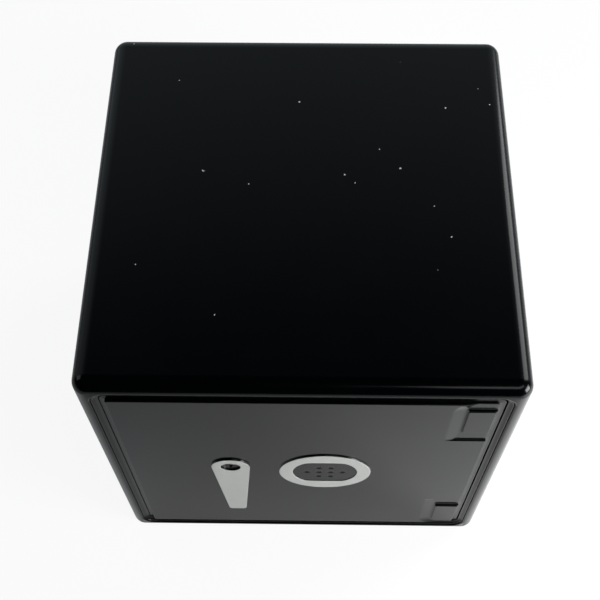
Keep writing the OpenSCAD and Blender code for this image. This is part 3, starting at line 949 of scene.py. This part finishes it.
class BANK_OT_hinge_blocks(bpy.types.Operator):
    """Builds the two hinge blocks as rounded bars that rise from their pockets."""
    bl_idname = "bank.hinge_blocks"
    bl_label = "Hinge Blocks"

    def execute(self, context):
        settings = context.scene.bank_door
        edge = settings.block_round
        places = Outline(6, (0.01, 0.5, 0.99))
        for name in ("hinge_block_upper", "hinge_block_lower"):
            low, high = box_of(name)
            width, height = high[0] - low[0], high[2] - low[2]
            centre = ((low[0] + high[0]) / 2, (low[2] + high[2]) / 2 - MIDDLE)
            front = low[1] - FRONT

            def ring(inset, depth, width=width, height=height, centre=centre):
                radius = 0.5 * MM - min(inset, 0.4 * MM)
                return places.ring(width - 2 * inset, height - 2 * inset, radius, depth, centre)

            rows = [ring(edge + 2 * SUPPORT, front), ring(edge + SUPPORT, front)]
            rows += [ring(edge * (1 - s), front + edge * (1 - c)) for s, c in arc(0, 90, 6)]
            rows += [ring(0, front + edge + SUPPORT), ring(0, 1.0 * MM)]
            make_piece(name + "_cover", [capped(rows)], "door", [name],
                       finish_named("black_plastic"))
        return {"FINISHED"}


# ---------------------------------------------------------------- keypad and lever

def polar_ring(radii, angles, depth, centre, growth=0.0):
    """A ring at given distances and angles round a centre."""
    reach = radii + growth
    return upright(centre[0] + reach * np.cos(angles), np.full_like(angles, depth),
                   centre[1] + reach * np.sin(angles))


class BANK_OT_keypad_ring(bpy.types.Operator):
    """Builds the keypad's ring: round outside, double-D inside, rounded edges."""
    bl_idname = "bank.keypad_ring"
    bl_label = "Keypad Ring"

    def execute(self, context):
        edge = context.scene.bank_fittings.ring_round
        low, high = box_of("keypad_bezel")
        centre = ((low[0] + high[0]) / 2, (low[2] + high[2]) / 2 - MIDDLE)
        outer = (high[0] - low[0]) / 2
        front = low[1] - FRONT
        plate_low, plate_high = box_of("keypad_plate")
        gap = 0.05 * MM
        bore = (plate_high[0] - plate_low[0]) / 2 + gap
        flat = (plate_high[2] - plate_low[2]) / 2 + gap
        angles = np.linspace(0, 2 * math.pi, 193)[:-1]
        tight = 24.0                              # how sharply the arcs meet the flats
        with np.errstate(divide="ignore"):
            straight = flat / np.maximum(np.abs(np.sin(angles)), 1e-6)
        inner = (bore ** -tight + straight ** -tight) ** (-1 / tight)
        rim = np.full_like(angles, outer)
        flare = context.scene.bank_fittings.foot_flare
        foot = 0.02 * MM

        def outside(depth, growth=0.0):
            return polar_ring(rim, angles, depth, centre, growth)

        def inside(depth, growth=0.0):
            return polar_ring(inner, angles, depth, centre, growth)

        rows = [outside(front + edge * (1 - c), edge * (s - 1)) for s, c in arc(0, 90, 5)]
        rows += [outside(flare * (s - 1), flare * (1 - c)) for s, c in arc(0, 75, 4)]
        rows += [outside(foot, flare * 0.8), inside(foot), inside(front + edge + SUPPORT)]
        rows += [inside(front + edge * (1 - c), edge * (1 - s)) for s, c in arc(90, 0, 5)]
        rows += [inside(front, edge + SUPPORT), outside(front, -edge - SUPPORT)]
        make_piece("keypad_ring", [looped(rows)], "door", ["keypad_bezel"],
                   finish_named("painted_face"))
        return {"FINISHED"}


def dimple_places(pitch):
    """Centres of the dimples: rows of two, four and two."""
    rows = ((1, 2), (0, 4), (-1, 2))
    return [((place - (count - 1) / 2) * pitch, row * pitch)
            for row, count in rows for place in range(count)]


class BANK_OT_keypad_plate(bpy.types.Operator):
    """Builds the keypad's plate as one grid with its dimples pressed in."""
    bl_idname = "bank.keypad_plate"
    bl_label = "Keypad Plate"

    def execute(self, context):
        settings = context.scene.bank_fittings
        low, high = box_of("keypad_plate")
        centre = ((low[0] + high[0]) / 2, (low[2] + high[2]) / 2 - MIDDLE)
        radius, half_height = (high[0] - low[0]) / 2, (high[2] - low[2]) / 2
        front = low[1] - FRONT
        edge = 0.12 * MM
        v = np.linspace(-1, 1, 101)
        u = np.linspace(-1, 1, 121)
        across, up = np.meshgrid(u, v * (half_height - edge))
        x = across * (np.sqrt(radius ** 2 - up ** 2) - edge)
        sunk = np.zeros_like(x)
        for place in dimple_places(settings.dimple_pitch):
            away = np.hypot(x - place[0], up - place[1]) / settings.dimple_radius
            sunk = np.maximum(sunk, settings.dimple_depth * soft_ramp((1.15 - away) / 0.6, 0.25))
        rows, columns = x.shape
        face = upright(centre[0] + x, front + sunk, centre[1] + up).reshape(-1, 3)
        border = perimeter(rows, columns)
        bx, bz = x.reshape(-1)[border], up.reshape(-1)[border]
        swell = np.stack([bx, bz], axis=1) / np.hypot(bx, bz)[:, None]

        def outer(grow, depth):
            return upright(centre[0] + bx + swell[:, 0] * grow, np.full_like(bx, depth),
                           centre[1] + bz + swell[:, 1] * grow)

        rings = [outer(edge * s, front + edge * (1 - c)) for s, c in arc(0, 90, 3)[1:]]
        rings = np.array(rings + [outer(edge, 0.0)])
        first, around = len(face), len(border)
        last = first + (len(rings) - 1) * around
        points = np.concatenate([face, rings.reshape(-1, 3), rings[-1].mean(axis=0)[None]])
        faces = [strips(rows, columns, closed_columns=False)[:, ::-1],
                 seam(border, first + np.arange(around)),
                 strips(len(rings), around, first=first), fan(last, around, len(points) - 1)]
        make_piece("keypad_face", [(points, faces)], "door", ["keypad_plate"],
                   finish_named("keypad_plastic"))
        return {"FINISHED"}


def lever_outline(head, reach, tip_width, tip_corner):
    """Points and outward directions round the lever, from the head's right side over the top.

    The head is an arc about the pivot that ends where the straight sides touch it. The sides are
    divided by equal angles seen from the pivot, and the tip has two small corner arcs.
    """
    half = tip_width / 2 - tip_corner
    drop = reach - tip_corner
    spread = math.atan((head - tip_width / 2) / drop)
    head_turn = np.linspace(-spread, math.pi + spread, 49)
    head_out = np.stack([np.cos(head_turn), np.sin(head_turn)], axis=1)
    corner_turn = np.linspace(math.pi + spread, 1.5 * math.pi, 7)
    corner_out = np.stack([np.cos(corner_turn), np.sin(corner_turn)], axis=1)
    left_corner = np.array([-half, -drop]) + tip_corner * corner_out
    start, stop = head * head_out[-1], left_corner[0]
    first, last = math.atan2(-start[0], -start[1]), math.atan2(-stop[0], -stop[1])
    side = []
    for angle in np.linspace(first, last, 15)[1:-1]:
        ray = np.array([-math.sin(angle), -math.cos(angle)])
        along = stop - start
        share_of = (start[1] * ray[0] - start[0] * ray[1]) / (along[0] * ray[1] - along[1] * ray[0])
        side.append(start + share_of * along)
    side = np.array(side)
    side_out = np.repeat(corner_out[:1], len(side), axis=0)
    bottom = np.array([[0.0, -reach]])
    bottom_out = np.array([[0.0, -1.0]])
    left = np.concatenate([side, left_corner])
    left_out = np.concatenate([side_out, corner_out])
    mirror = np.array([-1.0, 1.0])
    points = np.concatenate([head * head_out, left, bottom, left[::-1] * mirror])
    out = np.concatenate([head_out, left_out, bottom_out, left_out[::-1] * mirror])
    return points, out


class BANK_OT_handle_lever(bpy.types.Operator):
    """Builds the lever: a tapering blade with a round head, a hole and the hub behind it."""
    bl_idname = "bank.handle_lever"
    bl_label = "Handle Lever"

    def execute(self, context):
        settings = context.scene.bank_fittings
        edge, flare = settings.lever_round, settings.foot_flare
        low, high = box_of("handle_lever")
        head = (high[0] - low[0]) / 2
        pivot = np.array([(low[0] + high[0]) / 2, high[2] - head - MIDDLE])
        reach = pivot[1] + MIDDLE - low[2]
        outline, out = lever_outline(head, reach, settings.tip_width, settings.tip_corner)
        around = outline / np.linalg.norm(outline, axis=1)[:, None]
        front, back, hub_end = low[1] - FRONT, -0.05 * MM, high[1] - FRONT

        def ring(flat, depth):
            spot = pivot + flat
            return upright(spot[:, 0], np.full(len(spot), depth), spot[:, 1])

        def blade(grow, depth):
            return ring(outline + out * grow, depth)

        def circle(radius, depth):
            return ring(around * radius, depth)

        hole, hub, bore, seat = 2.5 * MM, 4.2 * MM, 1.3 * MM, 1.25 * MM
        lead = 0.1 * MM
        rows = [circle(hole + lead * (1 - c), front + lead * (1 - s)) for s, c in arc(0, 90, 3)]
        rows += [circle(hole + lead + SUPPORT, front), blade(-edge - SUPPORT, front)]
        rows += [blade(-edge * (1 - s), front + edge * (1 - c)) for s, c in arc(0, 90, 5)]
        rows += [blade(flare * (1 - c), back - TINY + flare * (s - 1)) for s, c in arc(0, 70, 4)]
        rows += [blade(flare * 0.5, back), circle(hub + SUPPORT, back), circle(hub, back + SUPPORT),
                 circle(hub, hub_end - SUPPORT), circle(hub - SUPPORT, hub_end),
                 circle(bore, hub_end), circle(bore, seat), circle(hole - SUPPORT, seat),
                 circle(hole, seat - SUPPORT), circle(hole, front + lead + SUPPORT)]
        make_piece("lever_blade", [looped(rows)], "lever", ["handle_lever"],
                   finish_named("painted_face"))
        return {"FINISHED"}


# ---------------------------------------------------------------- carried parts and studio

INNER_FINISHES = {
    "liner_plastic": ["door_liner"],
    "plated_steel": ["door_liner_screws", "hinge_block_screws", "keypad_push_nuts", "latch_arm",
                     "latch_screw", "wave_washer", "hinge_pin_upper", "hinge_pin_lower"],
    "dark_steel": ["handle_screw"],
    "keypad_plastic": ["latch_spindle"],
    "natural_plastic": ["spindle_bush"],
}


class BANK_OT_inner_parts(bpy.types.Operator):
    """Gives every part that is shown as designed its finish."""
    bl_idname = "bank.inner_parts"
    bl_label = "Inner Parts"

    def execute(self, context):
        for finish, nodes in INNER_FINISHES.items():
            for node in nodes:
                materials = frame["nodes"][node].data.materials
                materials.clear()
                materials.append(finish_named(finish))
        return {"FINISHED"}


def aim(obj, place, target):
    """Puts an object in place with its -Z axis towards a target."""
    obj.location = place
    obj.rotation_mode = "QUATERNION"
    obj.rotation_quaternion = (Vector(target) - Vector(place)).to_track_quat("-Z", "Y")


def add_camera(settings):
    """The camera: place in cabinet heights, then heading, pitch and roll."""
    data = bpy.data.cameras.new("camera")
    data.lens = settings.lens
    data.sensor_width = 36.0
    data.clip_start = 0.01
    data.clip_end = 50.0
    camera = bpy.data.objects.new("camera", data)
    bpy.context.scene.collection.objects.link(camera)
    turned, down, lean = settings.heading, settings.pitch, settings.roll
    ahead = Vector((math.sin(turned) * math.cos(down), math.cos(turned) * math.cos(down),
                    -math.sin(down)))
    right = ahead.cross(Vector((0, 0, 1))).normalized()
    below = ahead.cross(right)
    right_leaned = right * math.cos(lean) + below * math.sin(lean)
    below_leaned = below * math.cos(lean) - right * math.sin(lean)
    axes = Matrix((right_leaned, -below_leaned, -ahead)).transposed()
    camera.matrix_world = Matrix.Translation(Vector((
        settings.camera_right * CABINET_HEIGHT,
        FRONT - settings.camera_forward * CABINET_HEIGHT,
        CABINET_HIGH[2] + settings.camera_above * CABINET_HEIGHT))) @ axes.to_4x4()
    bpy.context.scene.camera = camera


def add_softbox(name, place, target, size, power):
    """A rectangular area light, in metres and watts."""
    data = bpy.data.lights.new(name, "AREA")
    data.shape = "RECTANGLE"
    data.size, data.size_y = size
    data.energy = power
    lamp = bpy.data.objects.new(name, data)
    lamp.visible_camera = False
    bpy.context.scene.collection.objects.link(lamp)
    aim(lamp, place, target)


def add_world(settings):
    """A dim room, lighter low down at the back, with a pale backdrop past the floor's edge."""
    finish = Finish(bpy.data.worlds.new("studio"))
    direction = finish.node("TexCoord", output="Generated")
    towards_back = finish.node("SeparateXYZ", output=1, Vector=direction)
    height = finish.node("SeparateXYZ", output=2, Vector=direction)
    low_sky = height.between(0.97, 0.62) * towards_back.between(0.1, 0.6)
    room = finish.mix(low_sky, (0.002, 0.003, 0.004), (0.95, 1.08, 1.15))
    seen = finish.node("LightPath", output="Is Camera Ray")
    glow = finish.mix(seen, room, tuple(settings.backdrop))
    bpy.context.scene.world = finish.surface(finish.node("Background", Color=glow, Strength=1.0))


class BANK_OT_stage(bpy.types.Operator):
    """Adds the floor, the soft lights, the dim room and the camera."""
    bl_idname = "bank.stage"
    bl_label = "Stage"

    def execute(self, context):
        settings = context.scene.bank_stage
        reach = 4.0
        near = -settings.floor_front
        mesh = bpy.data.meshes.new("floor")
        corners = [(-reach, near, 0), (reach, near, 0), (reach, reach, 0), (-reach, reach, 0)]
        mesh.from_pydata(corners, [], [(0, 1, 2, 3)])
        mesh.materials.append(finish_named("floor_paper"))
        floor = bpy.data.objects.new("floor", mesh)
        context.scene.collection.objects.link(floor)
        add_camera(settings)
        middle = (0, 0, MIDDLE)
        add_softbox("right_softbox", (0.74, 0.42, 0.50), middle, (0.40, 0.50), 5.5)
        add_softbox("left_softbox", (-0.85, 0.05, 0.60), middle, (0.40, 0.50), 1.4)
        add_softbox("front_right_softbox", (0.40, -0.60, 0.77), middle, (0.60, 0.20), 2.0)
        before_door = (0.03, -0.06, 0)
        add_softbox("low_front_softbox", (0.27, -0.15, 0.11), before_door, (0.14, 0.12), 1.5)
        add_world(settings)
        context.scene.view_settings.view_transform = "Standard"
        return {"FINISHED"}


OPENINGS = frame["record"]["physics"]["openings"]
OPERATORS = [
    BANK_OT_stage,
    BANK_OT_cabinet_shell,
    BANK_OT_front_frame,
    BANK_OT_door_panel,
    BANK_OT_hinge_blocks,
    BANK_OT_keypad_ring,
    BANK_OT_keypad_plate,
    BANK_OT_handle_lever,
    BANK_OT_inner_parts,
]


class BANK_PT_panel(bpy.types.Panel):
    """Lists the settings and the steps of the coin bank."""
    bl_idname = "BANK_PT_panel"
    bl_label = "Toy Safe Coin Bank"
    bl_space_type = "VIEW_3D"
    bl_region_type = "UI"
    bl_category = "Coin Bank"

    def draw(self, context):
        for group in GROUPS:
            box = self.layout.box()
            box.label(text=group.replace("bank_", "").title())
            for name in GROUPS[group].__annotations__:
                box.prop(getattr(context.scene, group), name)
        for operator in OPERATORS:
            self.layout.operator(operator.bl_idname)


def register():
    """Registers the classes and hangs the settings on the scene."""
    for cls in (*GROUPS.values(), *OPERATORS, BANK_PT_panel):
        bpy.utils.register_class(cls)
    for name, group in GROUPS.items():
        setattr(bpy.types.Scene, name, PointerProperty(type=group))


def unregister():
    """Takes away what register added."""
    for name in GROUPS:
        delattr(bpy.types.Scene, name)
    for cls in (BANK_PT_panel, *reversed(OPERATORS), *reversed(list(GROUPS.values()))):
        bpy.utils.unregister_class(cls)


def main():
    """Runs every step in order."""
    register()
    for operator in OPERATORS:
        group, name = operator.bl_idname.split(".")
        getattr(getattr(bpy.ops, group), name)()


if __name__ == "__main__":
    main()
